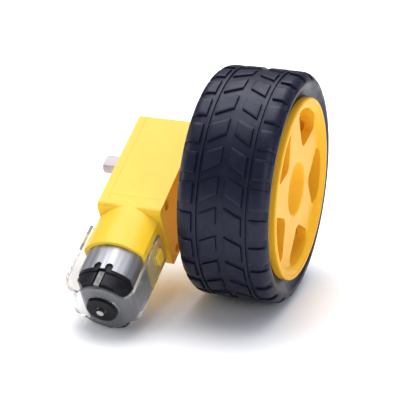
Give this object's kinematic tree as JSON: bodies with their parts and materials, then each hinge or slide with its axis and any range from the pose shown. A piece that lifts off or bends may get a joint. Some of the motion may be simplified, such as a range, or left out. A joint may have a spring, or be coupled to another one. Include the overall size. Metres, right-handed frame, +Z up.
{
  "type": "geared motor with wheel",
  "caption": "Straight yellow gear motor with a rubber-tyred wheel on its double-D output shaft, a clear strap over the motor and case holes for bolts.",
  "frame": {"origin": "on the floor under the middle of the whole part's box, with the tyre and the motor's end bell standing on it", "axes": "+Z up, +Y along the axle from the gearbox out through the wheel, +X from the wheel's side towards the motor, which slopes down to the floor"},
  "size_m": [0.0818, 0.0602, 0.066],
  "materials": {
    "tyre": "soft matt rubber",
    "rim_plastic": "moulded, slightly glossy",
    "case_plastic": "moulded, slightly glossy",
    "gear_plastic": "moulded acetal",
    "steel": "ground bright",
    "screw_steel": "plated",
    "core_steel": "bare laminations",
    "copper": "enamelled copper wire",
    "commutator_copper": "turned copper",
    "washer_plastic": "plain",
    "can_steel": "nickel plated, satin",
    "black_plastic": "moulded, glossy",
    "bronze": "sintered",
    "ferrite": "sintered ferrite",
    "spring_steel": "plain",
    "brush_metal": "stamped",
    "clear_plastic": "clear, slightly frosted"
  },
  "bodies": {
    "gearmotor": {"gearbox_housing": "case_plastic", "gearbox_cover": "case_plastic", "gear_pin": "steel", "housing_screws": "screw_steel", "motor_can": "can_steel", "end_bell": "black_plastic", "front_bushing": "bronze", "rear_bushing": "bronze", "magnets": "ferrite", "magnet_clip": "spring_steel", "brush_upper": "brush_metal", "brush_lower": "brush_metal", "motor_strap": "clear_plastic"},
    "wheel": {"tyre": "tyre", "rim": "rim_plastic", "output_gear": "gear_plastic"},
    "second_stage": {"second_gear": "gear_plastic"},
    "third_stage": {"third_gear": "gear_plastic"},
    "first_stage": {"crown_gear": "gear_plastic"},
    "rotor": {"motor_shaft": "steel", "pinion": "gear_plastic", "rotor_core": "core_steel", "windings": "copper", "commutator": "commutator_copper", "shaft_washers": "washer_plastic"}
  },
  "joints": [
    {"name": "wheel_spin", "type": "hinge", "parent": "gearmotor", "child": "wheel", "pos_m": [-0.00789, -0.0117, 0.033], "axis": [0, 1, 0], "continuous": true},
    {"name": "third_gear_spin", "type": "hinge", "parent": "gearmotor", "child": "third_stage", "pos_m": [0.00169, -0.0117, 0.0276], "axis": [0, 1, 0], "continuous": true},
    {"name": "second_gear_spin", "type": "hinge", "parent": "gearmotor", "child": "second_stage", "pos_m": [-0.00789, -0.0117, 0.033], "axis": [0, 1, 0], "continuous": true},
    {"name": "crown_gear_spin", "type": "hinge", "parent": "gearmotor", "child": "first_stage", "pos_m": [0.00169, -0.0117, 0.0276], "axis": [0, 1, 0], "continuous": true},
    {"name": "rotor_spin", "type": "hinge", "parent": "gearmotor", "child": "rotor", "pos_m": [-0.00789, -0.0117, 0.033], "axis": [0.8712, 0, -0.4909], "continuous": true}
  ],
  "couplings": [
    {"joint": "third_gear_spin", "follows": "wheel_spin", "ratio": -3},
    {"joint": "second_gear_spin", "follows": "wheel_spin", "ratio": 4.7647},
    {"joint": "crown_gear_spin", "follows": "wheel_spin", "ratio": -14.294},
    {"joint": "rotor_spin", "follows": "wheel_spin", "ratio": -48.243}
  ]
}
